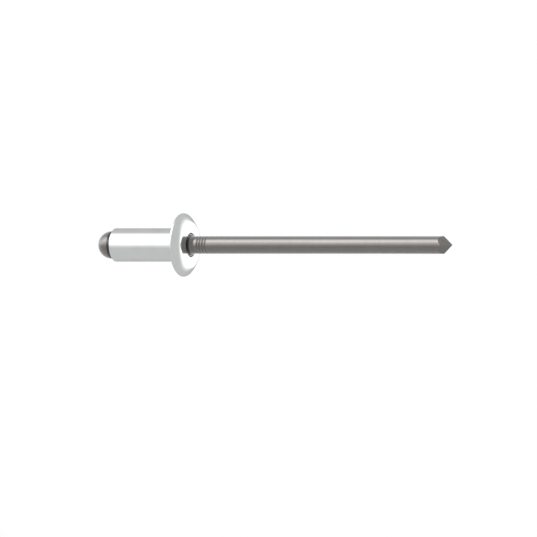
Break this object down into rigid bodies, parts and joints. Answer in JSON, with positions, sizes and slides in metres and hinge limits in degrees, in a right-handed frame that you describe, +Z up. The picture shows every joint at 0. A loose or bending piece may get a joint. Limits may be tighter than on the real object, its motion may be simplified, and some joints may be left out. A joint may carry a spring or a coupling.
{
  "type": "pop rivet",
  "caption": "Unset blind rivet lying on its side: aluminium tube with a domed flange on a steel mandrel with a round head, grip rings and a square point.",
  "frame": {"origin": "on the surface that the rivet lies on, under the middle of its length", "axes": "+X along the rivet's length towards the mandrel's point, +Z up; the rivet's own axis lies in the XZ plane and dips 4.51 degrees below +X, because the flange's rim and the point's shoulder rest on one level"},
  "size_m": [0.0586, 0.0094, 0.0095],
  "materials": {
    "rivet_body": "gloss",
    "mandrel": "satin"
  },
  "bodies": {
    "root": {"rivet_body": "rivet_body", "mandrel": "mandrel"}
  },
  "joints": []
}
